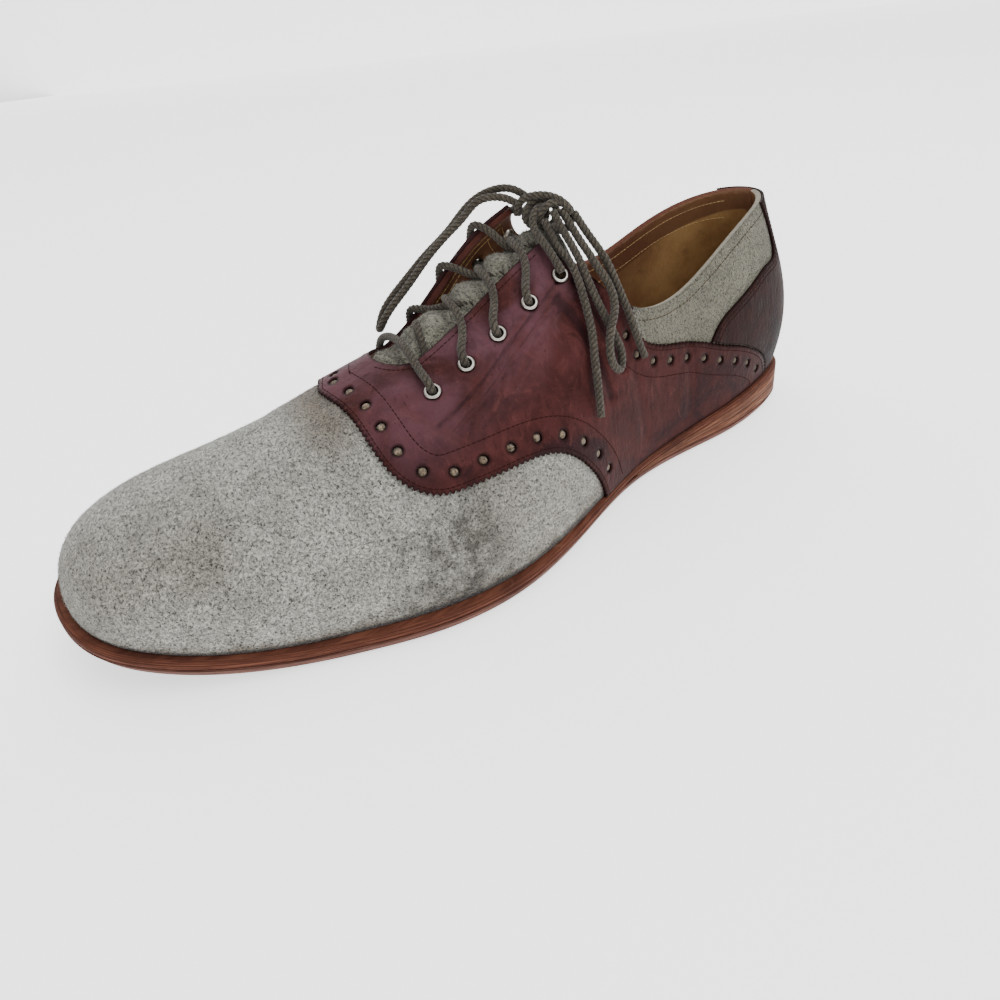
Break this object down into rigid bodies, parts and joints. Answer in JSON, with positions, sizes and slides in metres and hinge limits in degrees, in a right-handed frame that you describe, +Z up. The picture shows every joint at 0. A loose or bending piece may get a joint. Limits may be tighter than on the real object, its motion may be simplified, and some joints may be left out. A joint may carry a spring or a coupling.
{
  "type": "saddle shoe",
  "caption": "Low laced dress shoe for the left foot: grey suede vamp and collar, pinked brown leather saddle and counter, open throat with tongue, low heel wedge on a leather sole.",
  "frame": {"origin": "centre of the box on the floor plane, below the middle of the sole", "axes": "+X along the sole to the toe, +Y to the outer side of the left foot, +Z up"},
  "size_m": [0.3117, 0.1139, 0.1149],
  "materials": {
    "grey_suede": "suede, brushed nap",
    "tongue_suede": "suede",
    "saddle_leather": "smooth, creased, satin",
    "counter_leather": "smooth, dark, satin",
    "outsole_leather": "stained edge, worn",
    "welt_leather": "stained edge, worn",
    "heel_leather": "stacked, stained edge",
    "insole_leather": "natural, smooth",
    "eyelet_metal": "nickelled",
    "lace_cord": "waxed cotton cord"
  },
  "bodies": {
    "root": {"counter": "counter_leather", "eyelet_inner_1": "eyelet_metal", "eyelet_inner_2": "eyelet_metal", "eyelet_inner_3": "eyelet_metal", "eyelet_inner_4": "eyelet_metal", "eyelet_inner_5": "eyelet_metal", "eyelet_outer_1": "eyelet_metal", "eyelet_outer_2": "eyelet_metal", "eyelet_outer_3": "eyelet_metal", "eyelet_outer_4": "eyelet_metal", "eyelet_outer_5": "eyelet_metal", "heel_stack": "heel_leather", "insole": "insole_leather", "lace_bar": "lace_cord", "lace_cross_2": "lace_cord", "lace_cross_3": "lace_cord", "lace_cross_4": "lace_cord", "lace_end_back": "lace_cord", "lace_end_front": "lace_cord", "lace_knot": "lace_cord", "lace_loop_inner": "lace_cord", "lace_loop_outer": "lace_cord", "midsole": "welt_leather", "outsole": "outsole_leather", "saddle": "saddle_leather", "tongue": "tongue_suede", "upper": "grey_suede"}
  },
  "joints": []
}
